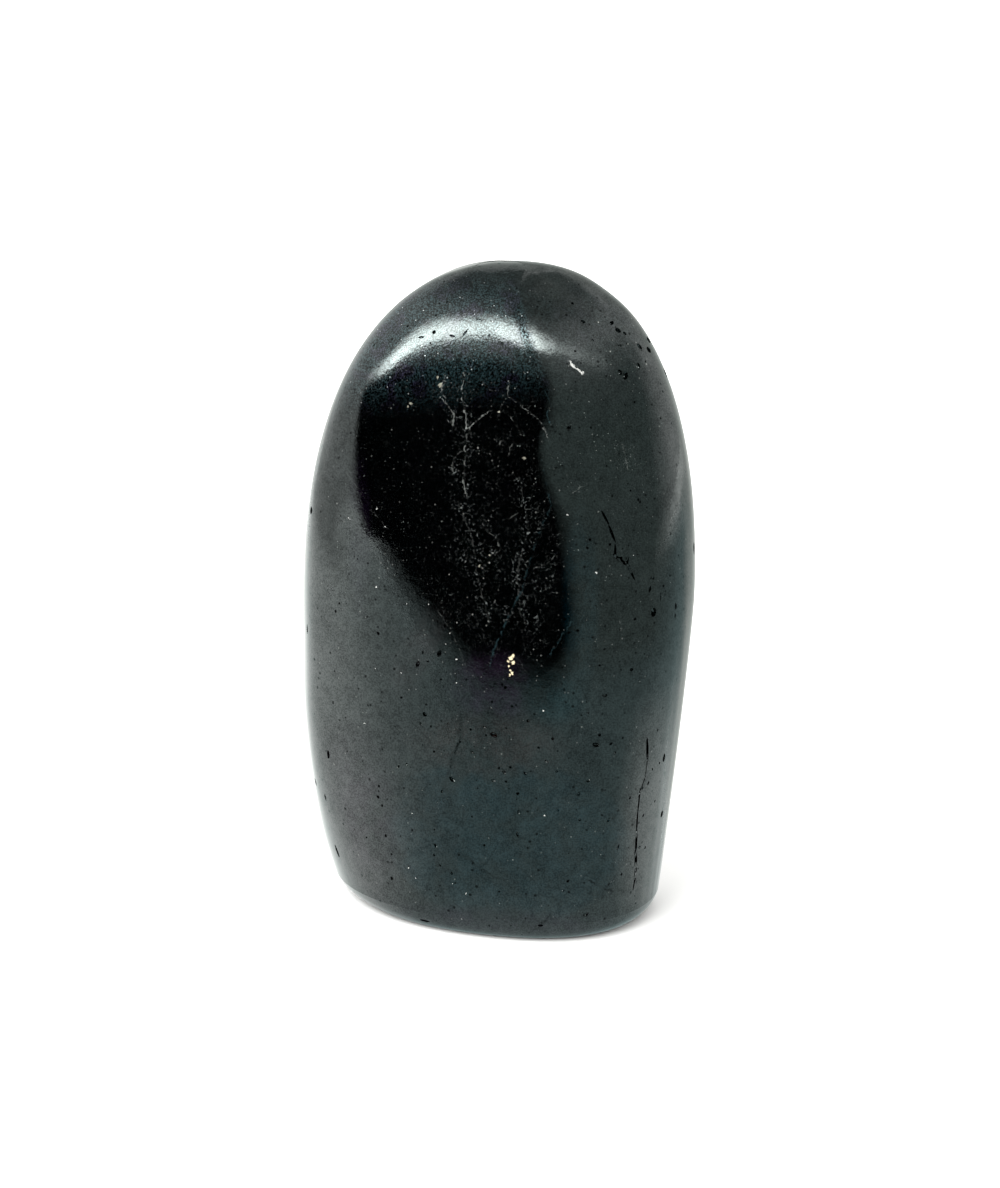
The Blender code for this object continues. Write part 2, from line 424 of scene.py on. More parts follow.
# Pits at the sides, where the front's view doesn't lie flat on the stone: degrees from the front
# towards the right and mm up from the base, then as above
SIDE_PITS = (
    # down the left side
    (-67, 61.6, 1.1, 1.2, 0),
    (-66, 43.5, 1.6, 0.6, 0),
    (-57, 25.1, 1.5, 0.6, 0),
    (-62, 17.6, 1.2, 0.5, 170),
    (-63, 8.8, 2.4, 0.8, 165),
    # on the right shoulder and down the right side
    (97, 86.3, 1.0, 1.0, 0),
    (102, 87.4, 1.1, 1.2, 20),
    (103, 82.5, 1.5, 1.2, 0),
    (98, 57.0, 1.9, 1.0, 0),
    (101, 49.0, 1.6, 1.2, 10),
    (84, 26.5, 1.4, 0.8, 0),
    (88, 17.0, 1.2, 0.9, 0),
    # chips at the base's edge
    (-19, 1.6, 0.5, 1.7, 0),
    (37, 3.0, 0.5, 0.8, 0),
)
HIDDEN_PITS = 90
HIDDEN_PIT_SEED = 11

# Open cracks, each a row of gouges: angle and height at its start and end, width in mm
CRACK_GOUGES = (
    # the shoulder crack
    (58.9, 65.1, 60.2, 63.8, 0.40),
    (60.7, 63.0, 61.9, 61.2, 0.43),
    (61.9, 60.1, 61.7, 58.9, 0.38),
    (61.7, 58.9, 63.3, 58.1, 0.49),
    (63.0, 58.3, 65.4, 57.5, 0.52),
    (65.2, 57.7, 66.2, 56.6, 0.43),
    (66.1, 56.8, 67.1, 55.6, 0.38),
    # the foot crack
    (73.5, 30.5, 74.5, 27.4, 0.55),
    (74.5, 28.0, 74.1, 24.2, 0.18),
    (74.2, 24.8, 72.0, 22.2, 0.20),
    (72.2, 22.9, 72.1, 19.2, 0.32),
    (72.0, 19.6, 72.4, 15.6, 0.36),
    (72.4, 16.4, 73.1, 12.4, 0.50),
    (73.0, 13.2, 73.9, 10.0, 0.62),
    (73.7, 10.8, 74.2, 8.6, 0.55),
    (74.2, 9.4, 73.7, 7.0, 0.35),
)


def surface_along(body, start, toward):
    """(point, outward, upward) where a line meets the body."""
    hit, point, outward, _ = body.ray_cast(start, toward)
    if not hit:
        raise ValueError(f"no surface from {start} towards {toward}")
    upward = Vector((0, 0, 1)) - outward * outward.z
    return point, outward, upward.normalized()


def surface_at(body, angle, height):
    """The surface at an angle in degrees and a height in metres."""
    middle = GRIND_AXIS + APEX_OFFSET * (height / STONE_HEIGHT) ** APEX_DRIFT
    middle = Vector((middle.x, middle.y, height))
    return surface_along(body, middle, direction(angle, 0))


def surface_in_front(body, across, up):
    """The surface at a place of the front view, in metres across and up."""
    toward = -direction(FRONT_TURN, 0)
    aside = direction(FRONT_TURN + 90, 0)
    start = aside * across - toward * BEFORE_THE_STONE + Vector((0, 0, up))
    return surface_along(body, start, toward)


def chip_shapes(jitter):
    """A few irregular chips, from which every pit or gouge is copied."""
    shapes = []
    for number in range(CHIP_SHAPES):
        deselect_all()
        bpy.ops.mesh.primitive_ico_sphere_add(subdivisions=2, radius=1.0)
        chip = bpy.context.object
        chip.name = f"chip_{number}"
        bpy.ops.object.mode_set(mode="EDIT")
        bpy.ops.mesh.select_all(action="SELECT")
        bpy.ops.transform.vertex_random(offset=jitter, seed=number + 3)
        bpy.ops.object.mode_set(mode="OBJECT")
        shapes.append(chip)
    return shapes


def sink_chip(shape, surface, length, width, depth, turn):
    """Places a copy of a chip half sunk in the surface, its length turned from upright."""
    point, outward, upward = surface
    aside = upward.cross(outward)
    lean = math.radians(turn)
    along = upward * math.cos(lean) + aside * math.sin(lean)
    across = along.cross(outward)
    chip = shape.copy()
    chip.data = shape.data.copy()
    bpy.context.scene.collection.objects.link(chip)
    grip = Matrix.Identity(4)
    for column, (axis, size) in enumerate(
        ((across, width / 2), (along, length / 2), (outward, depth))
    ):
        for row in range(3):
            grip[row][column] = axis[row] * size
    for row in range(3):
        grip[row][3] = point[row] + outward[row] * depth * CHIP_PROUD
    chip.matrix_world = grip
    return chip


def pit_chips(body, shapes):
    chips = []
    chance = random.Random(HIDDEN_PIT_SEED)
    shown = [(surface_in_front(body, pit[0] * MM, pit[1] * MM), pit[2:]) for pit in FRONT_PITS]
    shown += [(surface_at(body, pit[0], pit[1] * MM), pit[2:]) for pit in SIDE_PITS]
    for surface, (length, width, turn) in shown:
        depth = chance.uniform(0.6, 0.9) * width
        shape = chance.choice(shapes)
        chips.append(sink_chip(shape, surface, length * MM, width * MM, depth * MM, turn))
    for _ in range(HIDDEN_PITS):
        angle = chance.uniform(112, 292)
        surface = surface_at(body, angle, chance.uniform(5, 93) * MM)
        width = 0.35 + 0.55 * chance.random() ** 2
        length = width * chance.uniform(1.0, 2.2)
        turn = chance.uniform(-40, 40)
        shape = chance.choice(shapes)
        chips.append(sink_chip(shape, surface, length * MM, width * MM, width * 0.5 * MM, turn))
    return chips


def crack_chips(body, shapes):
    """A chip stretched over each gouge, overlapping its neighbours."""
    chips = []
    for number, (angle, height, end_angle, end_height, width) in enumerate(CRACK_GOUGES):
        start = surface_at(body, angle, height * MM)
        end = surface_at(body, end_angle, end_height * MM)
        middle = surface_at(body, (angle + end_angle) / 2, (height + end_height) / 2 * MM)
        run = end[0] - start[0]
        aside = middle[2].cross(middle[1])
        turn = math.degrees(math.atan2(run.dot(aside), run.dot(middle[2])))
        shape = shapes[number % len(shapes)]
        length = run.length + GOUGE_OVERLAP
        chips.append(sink_chip(shape, middle, length, width * MM, GOUGE_DEPTH, turn))
    return chips


def cut_flaws(body, walls):
    """Cuts the pits and cracks out of the polished body; the cutter carries the walls' material."""
    rough_shapes = chip_shapes(PIT_RAGGED)
    long_shapes = chip_shapes(CRACK_RAGGED)
    chips = pit_chips(body, rough_shapes) + crack_chips(body, long_shapes)
    for shape in rough_shapes + long_shapes:
        bpy.data.objects.remove(shape)
    deselect_all()
    for chip in chips:
        chip.select_set(True)
    bpy.context.view_layer.objects.active = chips[0]
    bpy.ops.object.join()
    cutter = bpy.context.object
    settle(cutter)
    bpy.ops.object.mode_set(mode="EDIT")
    bpy.ops.mesh.select_all(action="SELECT")
    bpy.ops.mesh.normals_make_consistent(inside=False)
    bpy.ops.object.mode_set(mode="OBJECT")
    cutter.data.materials.append(walls)
    cut = body.modifiers.new("flaws", "BOOLEAN")
    cut.operation = "DIFFERENCE"
    cut.solver = "MANIFOLD"
    cut.object = cutter
    apply_modifiers(body)
    bpy.data.objects.remove(cutter)
    select_only(body)
    bpy.ops.object.shade_smooth_by_angle(angle=math.radians(32))


# Studio

FLOOR_COLOUR = (0.90, 0.90, 0.89)
FAR = 1.2
WALL_COLUMNS = 9
TENT_ON_TABLE = 1.5
TENT_IN_POLISH = 1.35
TENT_SEEN = 1.25


def grid_faces(rows, columns):
    """The faces of a grid whose corners run row by row."""
    starts = [row * columns + column for row in range(rows - 1) for column in range(columns - 1)]
    return [(start, start + 1, start + columns + 1, start + columns) for start in starts]


def stage_mesh(name, corners, faces, levels=None):
    """A mesh of the studio; levels, one a corner, is how strongly each corner counts."""
    sheet = bpy.data.meshes.new(name)
    sheet.from_pydata([tuple(corner) for corner in corners], [], faces)
    if levels is not None:
        strengths = sheet.attributes.new("level", "FLOAT", "POINT")
        for item, level in zip(strengths.data, levels):
            item.value = level
    piece = bpy.data.objects.new(name, sheet)
    bpy.context.scene.collection.objects.link(piece)
    return piece


def only_in_the_polish(piece):
    piece.visible_camera = False
    piece.visible_diffuse = False
    piece.visible_shadow = False
    piece.visible_transmission = False


def cloth_wall_material(name, colour):
    """A wall of the tent: its colour where level is 1, and nothing where level is 0."""
    material = bpy.data.materials.new(name)
    material.use_nodes = True
    nodes = material.node_tree.nodes
    links = material.node_tree.links
    nodes.clear()
    level = nodes.new("ShaderNodeAttribute")
    level.attribute_name = "level"
    clear = nodes.new("ShaderNodeBsdfTransparent")
    glow = nodes.new("ShaderNodeEmission")
    glow.inputs["Color"].default_value = (*colour, 1)
    mix = nodes.new("ShaderNodeMixShader")
    output = nodes.new("ShaderNodeOutputMaterial")
    links.new(level.outputs["Fac"], mix.inputs[0])
    links.new(clear.outputs[0], mix.inputs[1])
    links.new(glow.outputs[0], mix.inputs[2])
    links.new(mix.outputs[0], output.inputs["Surface"])
    return material


def lamp_material(name, colour):
    """A lamp's glow, as strong as level says, added to what is behind it."""
    material = bpy.data.materials.new(name)
    material.use_nodes = True
    nodes = material.node_tree.nodes
    links = material.node_tree.links
    nodes.clear()
    level = nodes.new("ShaderNodeAttribute")
    level.attribute_name = "level"
    clear = nodes.new("ShaderNodeBsdfTransparent")
    glow = nodes.new("ShaderNodeEmission")
    glow.inputs["Color"].default_value = (*colour, 1)
    both = nodes.new("ShaderNodeAddShader")
    output = nodes.new("ShaderNodeOutputMaterial")
    links.new(level.outputs["Fac"], glow.inputs["Strength"])
    links.new(clear.outputs[0], both.inputs[0])
    links.new(glow.outputs[0], both.inputs[1])
    links.new(both.outputs[0], output.inputs["Surface"])
    return material


def far_point(azimuth, elevation, distance=FAR):
    return HEART + direction(azimuth, elevation) * distance


def table_point(azimuth, distance, rise=0.001):
    return direction(azimuth, 0) * distance + Vector((0, 0, rise))


def place_of(height, azimuth, distance):
    """A wall's point: height is degrees up on the far wall, or the word table's distance."""
    if height[0] == "table":
        return table_point(azimuth, height[1], 0.001 if distance < 1.3 else 0.0007)
    return far_point(azimuth, height[1], distance)


def add_wall(name, rows, colour, distance):
    """A wall with soft edges, hung in rows from the top down to the table.

    Each row gives its height, where its soft edge starts and ends on the left and on the right, in
    degrees round, and how full the wall is there.
    """
    corners = []
    levels = []
    for height, left_out, left_in, right_in, right_out, level in rows:
        turns = [left_out]
        for column in range(WALL_COLUMNS):
            turns.append(left_in + (right_in - left_in) * column / (WALL_COLUMNS - 1))
        turns.append(right_out)
        for at, turn in enumerate(turns):
            corners.append(place_of(height, turn, distance))
            levels.append(0.0 if at in (0, len(turns) - 1) else level)
    wall = stage_mesh(name, corners, grid_faces(len(rows), WALL_COLUMNS + 2), levels)
    wall.data.materials.append(cloth_wall_material(name, colour))
    only_in_the_polish(wall)
    return wall


def add_lamp_strip(name, stations, colour, distance):
    """A curved strip of light; each station is azimuth, elevation, half width in degrees, level."""
    across = (-1.05, -0.78, -0.50, 0.0, 0.7, 1.35, 2.2)
    profile = (0.0, 0.25, 0.80, 1.0, 0.80, 0.25, 0.0)
    corners = []
    levels = []
    for at, (azimuth, elevation, half_width, level) in enumerate(stations):
        before = stations[max(at - 1, 0)]
        after = stations[min(at + 1, len(stations) - 1)]
        squeeze = math.cos(math.radians(elevation))
        run = Vector(((after[0] - before[0]) * squeeze, after[1] - before[1])).normalized()
        for step, share in zip(across, profile):
            side = step * half_width
            corners.append(
                far_point(azimuth - run.y * side / squeeze, elevation + run.x * side, distance)
            )
            levels.append(level * share)
    strip = stage_mesh(name, corners, grid_faces(len(stations), len(across)), levels)
    strip.data.materials.append(lamp_material(name, colour))
    only_in_the_polish(strip)
    return strip


def add_floor():
    deselect_all()
    bpy.ops.mesh.primitive_plane_add(size=8.0)
    floor = bpy.context.object
    floor.name = "table"
    white = bpy.data.materials.new("white_table")
    white.use_nodes = True
    shader = white.node_tree.nodes["Principled BSDF"]
    shader.inputs["Base Color"].default_value = (*FLOOR_COLOUR, 1)
    shader.inputs["Roughness"].default_value = 0.9
    shader.inputs["Specular IOR Level"].default_value = 0.0
    floor.data.materials.append(white)


def add_tent():
    """The white tent as the world: how bright it is to the eye, in the polish and on the table."""
    world = bpy.data.worlds.new("tent")
    world.use_nodes = True
    nodes = world.node_tree.nodes
    links = world.node_tree.links
    background = nodes["Background"]
    background.inputs["Color"].default_value = (1.0, 1.0, 0.99, 1)
    path = nodes.new("ShaderNodeLightPath")
    shine = nodes.new("ShaderNodeMix")
    shine.inputs["A"].default_value = TENT_ON_TABLE
    shine.inputs["B"].default_value = TENT_IN_POLISH
    links.new(path.outputs["Is Glossy Ray"], shine.inputs["Factor"])
    seen = nodes.new("ShaderNodeMix")
    seen.inputs["B"].default_value = TENT_SEEN
    links.new(path.outputs["Is Camera Ray"], seen.inputs["Factor"])
    links.new(shine.outputs["Result"], seen.inputs["A"])
    links.new(seen.outputs["Result"], background.inputs["Strength"])
    bpy.context.scene.world = world


def add_key_light():
    """The softbox's light on the table. The strip stands for the box in the polish."""
    lamp = bpy.data.lights.new("key_light", "SUN")
    lamp.angle = math.radians(60)
    lamp.energy = 4.0
    key = bpy.data.objects.new("key_light", lamp)
    bpy.context.scene.collection.objects.link(key)
    key.rotation_euler = direction(-32, 44).to_track_quat("Z", "Y").to_euler()
    key.visible_glossy = False


def ease(value, start, end):
    """0 at start, 1 at end and smooth between."""
    share = min(max((value - start) / (end - start), 0.0), 1.0)
    return share * share * (3 - 2 * share)


def add_table_shade():
    """The table's front and right, which the photographer's side of the tent leaves darker."""
    distances = (0.002, 0.025, 0.045, 0.065, 0.09, 0.12, 0.15, 0.20, 0.28, 0.40, 0.60, 1.0)
    turns = range(-66, 187, 6)
    corners = []
    levels = []
    for turn in turns:
        for distance in distances:
            corners.append(table_point(turn, distance, 0.0004))
            level = ease(turn, -58, -10)
            level *= 1 - 0.72 * ease(turn, 66, 98) * ease(distance, 0.13, 0.06)
            level *= 1 - 0.45 * ease(distance, 0.05, 0.002)
            levels.append(level * ease(distance, 1.0, 0.4) if distance > 0.4 else level)
    faces = grid_faces(len(turns), len(distances))
    shade = stage_mesh("table_shade", corners, faces, levels)
    shade.data.materials.append(cloth_wall_material("table_shade", (0.56, 0.72, 0.73)))
    only_in_the_polish(shade)


MOUTH_ROWS = (
    (("wall", 44), -6, -4, 12, 14, 0.0),
    (("wall", 40), -14, -4, 17, 32, 0.25),
    (("wall", 37), -28, -8, 21, 31, 0.6),
    (("wall", 34), -33, -16, 22, 29, 0.9),
    (("wall", 32), -36, -22, 20, 28, 1.0),
    (("wall", 30), -40, -27, 18, 26, 1.0),
    (("wall", 28), -46, -32, 16, 25, 1.0),
    (("wall", 26), -54, -37, 15, 24, 1.0),
    (("wall", 24), -60, -44, 13, 22, 1.0),
    (("wall", 22), -63, -52, 10, 17, 1.0),
    (("wall", 19), -63, -57, 8, 13, 1.0),
    (("wall", 15), -60, -54, 6.5, 11, 1.0),
    (("wall", 11), -55, -50, 8, 16, 1.0),
    (("wall", 7), -51, -46, 12, 24, 1.0),
    (("wall", 3), -47, -42, 13, 26, 1.0),
    (("wall", 0), -44, -39, 14, 27, 1.0),
    (("table", 1.10), -41, -36, 15, 27, 1.0),
    (("table", 0.72), -34, -28, 16, 27, 1.0),
    (("table", 0.48), -31, -26, 17, 27, 1.0),
    (("table", 0.36), -29, -23, 17, 27, 1.0),
    (("table", 0.28), -27, -20.5, 16, 27, 1.0),
    (("table", 0.23), -25, -18.5, 15, 27, 1.0),
    (("table", 0.19), -23, -16, 12, 26, 1.0),
    (("table", 0.165), -21, -13, 8, 24, 0.9),
    (("table", 0.145), -20, -11, 6, 22, 0.5),
    (("table", 0.12), -19, -10, 5, 20, 0.0),
)

SIDE_ROWS = (
    (("wall", 48), -4, 0, 84, 110, 0.0),
    (("wall", 42), -4, 0, 95, 117, 0.5),
    (("wall", 36), -4, 0, 99, 121, 0.9),
    (("wall", 30), -4, 0, 100, 120, 1.0),
    (("wall", 20), -4, 0, 98, 121, 1.0),
    (("wall", 10), -4, 0, 98, 123, 1.0),
    (("wall", 0), -4, 0, 98, 127, 1.0),
    (("table", 1.1), -4, 0, 98, 128, 1.0),
    (("table", 0.50), -2, 2, 98, 128, 1.0),
    (("table", 0.30), 0, 4, 98, 128, 1.0),
    (("table", 0.22), 2, 6, 98, 126, 1.0),
    (("table", 0.17), 2, 6, 98, 124, 0.6),
    (("table", 0.14), 2, 6, 98, 124, 0.0),
)

BACK_ROWS = (
    (("wall", 62), 133, 157, 215, 241, 0.0),
    (("wall", 48), 133, 157, 215, 241, 1.0),
    (("wall", 24), 133, 157, 215, 241, 1.0),
    (("wall", 0), 133, 157, 215, 241, 1.0),
    (("table", 1.2), 133, 157, 215, 241, 1.0),
    (("table", 0.40), 133, 157, 215, 241, 1.0),
    (("table", 0.12), 133, 157, 215, 241, 1.0),
    (("table", 0.04), 133, 157, 215, 241, 1.0),
    (("table", 0.01), 133, 157, 215, 241, 1.0),
)


def add_studio():
    add_floor()
    add_tent()
    add_key_light()

    add_wall("tent_mouth", MOUTH_ROWS, (0.003, 0.004, 0.004), FAR)
    add_wall("side_wall", SIDE_ROWS, (0.42, 0.51, 0.49), 1.35)
    roof = [
        (("wall", 50), -180, -175, 175, 180, 0.0),
        (("wall", 64), -180, -175, 175, 180, 1.0),
        (("wall", 89), -180, -175, 175, 180, 1.0),
    ]
    add_wall("tent_roof", roof, (0.415, 0.47, 0.46), 1.6)
    add_wall("back_wall", BACK_ROWS, (0.95, 0.97, 0.93), 1.45)
    foot = [
        (("wall", 2), -180, -175, -60, -45, 0.0),
        (("wall", 0), -180, -175, -60, -45, 1.0),
        (("table", 1.2), -180, -175, -60, -45, 1.0),
        (("table", 0.55), -180, -175, -62, -47, 1.0),
        (("table", 0.28), -180, -175, -62, -47, 0.0),
    ]
    add_wall("tent_foot", foot, (1.22, 1.22, 1.20), 1.5)
    add_table_shade()

    strip = [
        (-62, 23, 2.1, 0.8),
        (-55, 26, 2.8, 3.8),
        (-49, 27.5, 3.2, 11.0),
        (-44, 30.5, 3.6, 21.0),
        (-38, 35.5, 3.9, 19.0),
        (-34, 39.5, 4.2, 17.0),
        (-29, 43.8, 4.4, 15.5),
        (-22, 46.2, 4.3, 16.0),
        (-13, 47, 4.2, 18.0),
        (2, 47.5, 4.2, 15.5),
        (18, 48.5, 4.1, 16.0),
        (30, 48.5, 3.5, 8.5),
        (42, 48, 2.9, 3.0),
        (55, 46.5, 3.0, 1.7),
        (68, 44, 2.6, 1.2),
        (80, 40, 2.2, 0.4),
    ]
    add_lamp_strip("softbox", strip, (1.0, 1.0, 0.98), 1.1)


# Working with shader nodes


def feed(tree, socket, value):
    """Links a socket to another, or sets it to a number, colour or vector."""
    if isinstance(value, bpy.types.NodeSocket):
        tree.links.new(value, socket)
    elif isinstance(value, (tuple, list, Vector)) and len(socket.default_value) == 4:
        socket.default_value = (*value, 1.0)[:4]
    else:
        socket.default_value = value


def arithmetic(tree, operation, first, second=0.0, third=0.0, clamp=False):
    node = tree.nodes.new("ShaderNodeMath")
    node.operation = operation
    node.use_clamp = clamp
    feed(tree, node.inputs[0], first)
    feed(tree, node.inputs[1], second)
    feed(tree, node.inputs[2], third)
    return node.outputs[0]


def times(tree, first, *others):
    for other in others:
        first = arithmetic(tree, "MULTIPLY", first, other)
    return first


def vector_step(tree, operation, first, second=(0, 0, 0), scale=1.0):
    node = tree.nodes.new("ShaderNodeVectorMath")
    node.operation = operation
    feed(tree, node.inputs[0], first)
    feed(tree, node.inputs[1], second)
    if operation == "SCALE":
        feed(tree, node.inputs["Scale"], scale)
    return node.outputs["Value" if operation in ("LENGTH", "DISTANCE", "DOT_PRODUCT") else "Vector"]


def between(tree, value, start, end, low=0.0, high=1.0):
    """Low at start, high at end and smooth between; start may be the larger."""
    node = tree.nodes.new("ShaderNodeMapRange")
    node.interpolation_type = "SMOOTHSTEP"
    feed(tree, node.inputs["Value"], value)
    feed(tree, node.inputs["From Min"], start)
    feed(tree, node.inputs["From Max"], end)
    feed(tree, node.inputs["To Min"], low)
    feed(tree, node.inputs["To Max"], high)
    return node.outputs["Result"]


def clouds(tree, vector, scale, detail=2.0, roughness=0.5, distortion=0.0):
    node = tree.nodes.new("ShaderNodeTexNoise")
    feed(tree, node.inputs["Vector"], vector)
    feed(tree, node.inputs["Scale"], scale)
    feed(tree, node.inputs["Detail"], detail)
    feed(tree, node.inputs["Roughness"], roughness)
    feed(tree, node.inputs["Distortion"], distortion)
    return node.outputs["Fac"]


def mixed(tree, share, first, second):
    node = tree.nodes.new("ShaderNodeMix")
    node.data_type = "RGBA"
    feed(tree, node.inputs["Factor"], share)
    feed(tree, node.inputs["A"], first)
    feed(tree, node.inputs["B"], second)
    return node.outputs["Result"]


def new_group(name, inputs, outputs):
    """A shader node group: (tree, its inputs by name, its output node)."""
    tree = bpy.data.node_groups.new(name, "ShaderNodeTree")
    for label, kind, value in inputs:
        socket = tree.interface.new_socket(name=label, in_out="INPUT", socket_type=kind)
        if value is not None:
            socket.default_value = value
    for label, kind in outputs:
        tree.interface.new_socket(name=label, in_out="OUTPUT", socket_type=kind)
    return tree, tree.nodes.new("NodeGroupInput").outputs, tree.nodes.new("NodeGroupOutput").inputs


def use_group(tree, group, **values):
    node = tree.nodes.new("ShaderNodeGroup")
    node.node_tree = group
    for label, value in values.items():
        feed(tree, node.inputs[label.replace("_", " ")], value)
    return node.outputs


FLOAT = "NodeSocketFloat"
VECTOR = "NodeSocketVector"


def soft_patch_group():
    """A soft-edged oval on the front, by its middle, half width and height, and turn."""
    tree, given, result = new_group(
        "soft_patch",
        [
            ("Vector", VECTOR, None),
            ("Middle", VECTOR, None),
            ("Half size", VECTOR, None),
            ("Turn", FLOAT, 0.0),
            ("Ragged", FLOAT, 0.5),
            ("Fray", FLOAT, 0.5),
            ("Softness", FLOAT, 0.6),
        ],
        [("Mask", FLOAT)],
    )
    away = vector_step(tree, "SUBTRACT", given["Vector"], given["Middle"])
    turned = tree.nodes.new("ShaderNodeVectorRotate")
    turned.rotation_type = "Y_AXIS"
    feed(tree, turned.inputs["Vector"], away)
    feed(tree, turned.inputs["Angle"], given["Turn"])
    scaled = vector_step(tree, "DIVIDE", turned.outputs[0], given["Half size"])
    distance = vector_step(tree, "LENGTH", scaled)
    shift = arithmetic(tree, "MULTIPLY_ADD", given["Ragged"], given["Fray"], -0.25)
    distance = arithmetic(tree, "ADD", distance, shift)
    inner = arithmetic(tree, "SUBTRACT", 1.0, given["Softness"])
    mask = between(tree, distance, 1.0, inner)
    feed(tree, result["Mask"], mask)
    return tree


def specks_group():
    """Scattered grains: how many of the cells hold one, and how wide it is in a cell."""
    tree, given, result = new_group(
        "specks",
        [
            ("Vector", VECTOR, None),
            ("Scale", FLOAT, 1000.0),
            ("Share", FLOAT, 0.2),
            ("Radius", FLOAT, 0.2),
        ],
        [("Mask", FLOAT), ("Tone", FLOAT)],
    )
    cells = tree.nodes.new("ShaderNodeTexVoronoi")
    feed(tree, cells.inputs["Vector"], given["Vector"])
    feed(tree, cells.inputs["Scale"], given["Scale"])
    pick = tree.nodes.new("ShaderNodeSeparateColor")
    feed(tree, pick.inputs[0], cells.outputs["Color"])
    held = arithmetic(tree, "LESS_THAN", pick.outputs[0], given["Share"])
    size = arithmetic(tree, "MULTIPLY_ADD", pick.outputs[1], 0.7, 0.3)
    edge = arithmetic(tree, "MULTIPLY", given["Radius"], size)
    core = arithmetic(tree, "MULTIPLY", edge, 0.45)
    grain = between(tree, cells.outputs["Distance"], edge, core)
    feed(tree, result["Mask"], times(tree, grain, held))
    feed(tree, result["Tone"], pick.outputs[2])
    return tree


def wisps_group():
    """Short pale curls: level lines of a cloud, broken up by another."""
    tree, given, result = new_group(
        "wisps",
        [
            ("Vector", VECTOR, None),
            ("Scale", FLOAT, 500.0),
            ("Line", FLOAT, 0.02),
            ("Gaps", FLOAT, 0.55),
        ],
        [("Mask", FLOAT)],
    )
    cloud = clouds(tree, given["Vector"], given["Scale"], 2.0, 0.45, 0.4)
    off = arithmetic(tree, "ABSOLUTE", arithmetic(tree, "SUBTRACT", cloud, 0.5))
    line = between(tree, off, given["Line"], arithmetic(tree, "MULTIPLY", given["Line"], 0.2))
    shifted = vector_step(tree, "ADD", given["Vector"], (0.31, 0.17, 0.53))
    finer = arithmetic(tree, "MULTIPLY", given["Scale"], 2.2)
    breaks = clouds(tree, shifted, finer, 2.0, 0.6)
    kept = between(tree, breaks, given["Gaps"], arithmetic(tree, "ADD", given["Gaps"], 0.08))
    feed(tree, result["Mask"], times(tree, line, kept))
    return tree


# The stone's finish

# Places on the front are in mm: across the photograph's view from the axis, and up from the base.

# Pale veins: strength, width, and the places they run through
PALE_VEINS = (
    (0.32, 0.08, ((-2.5, 83.6), (-1.7, 82.6), (-0.8, 81.9), (0.3, 81.7), (1.6, 81.2), (3.2, 80.3))),
    (0.36, 0.08, ((3.2, 80.3), (4.6, 79.3), (5.6, 78.5), (6.4, 77.8), (7.1, 76.6), (7.5, 75.4))),
    (0.34, 0.10, ((1.9, 83.1), (1.8, 82.2), (1.6, 81.2), (0.9, 80.1), (0.2, 79.1))),
    (0.60, 0.12, ((0.2, 79.1), (-1.1, 79.0), (-2.1, 78.3), (-2.8, 77.5), (-3.7, 76.7), (-4.3, 75.6))),
    (0.22, 0.09, ((6.1, 66.1), (4.5, 65.6), (3.2, 65.0), (1.8, 64.1))),
    (0.28, 0.09, ((-2.2, 63.4), (-1.4, 62.3), (-0.1, 61.5), (0.6, 59.8))),
    (0.28, 0.09, ((0.6, 59.8), (-0.8, 58.0), (-2.0, 56.9))),
    (0.20, 0.09, ((5.4, 57.1), (7.2, 57.9), (8.4, 59.1))),
    (0.08, 0.08, ((-21.6, 68.4), (-20.1, 66.4), (-18.3, 63.9), (-15.9, 61.3))),
    (0.14, 0.10, ((-8.4, 50.0), (-6.6, 47.2), (-5.3, 44.3), (-4.5, 42.0))),
    (0.22, 0.08, ((17.6, 50.7), (17.9, 49.2), (18.2, 47.7))),
    (0.25, 0.08, ((8.4, 71.4), (9.3, 71.0), (10.1, 70.7))),
    (0.34, 0.09, ((2.2, 78.2), (2.9, 77.2), (3.6, 75.9))),
    (0.30, 0.10, ((1.0, 75.6), (0.4, 74.4))),
    (0.26, 0.09, ((2.4, 74.8), (1.9, 73.2))),
    (0.20, 0.08, ((11.1, 68.0), (12.2, 68.9), (13.0, 69.3))),
)
# Upright chains that carry a net of curls: strength, width, and the places they run through
NET_VEINS = (
    (0.50, 0.12, ((-4.6, 85.0), (-4.5, 83.5), (-5.0, 81.4), (-4.8, 79.6), (-4.3, 78.1), (-4.1, 76.2))),
    (0.46, 0.13, ((-4.1, 76.2), (-4.4, 74.5), (-4.4, 72.7), (-4.7, 71.1), (-4.7, 69.4), (-4.2, 66.8))),
    (0.26, 0.09, ((-4.6, 73.4), (-5.1, 73.1), (-6.0, 72.4), (-6.3, 71.3), (-6.1, 69.9))),
    (0.38, 0.12, ((-7.3, 83.4), (-7.9, 81.2), (-7.1, 79.6), (-6.0, 78.3), (-6.1, 76.9))),
    (0.20, 0.09, ((18.2, 74.4), (18.4, 73.1), (18.8, 71.8), (19.0, 70.7))),
    (0.12, 0.10, ((-5.4, 66.0), (-3.4, 61.0), (-2.6, 55.0), (-1.0, 49.0))),
    (0.12, 0.10, ((3.4, 70.0), (4.6, 63.0), (3.0, 56.0), (3.6, 50.0))),
)
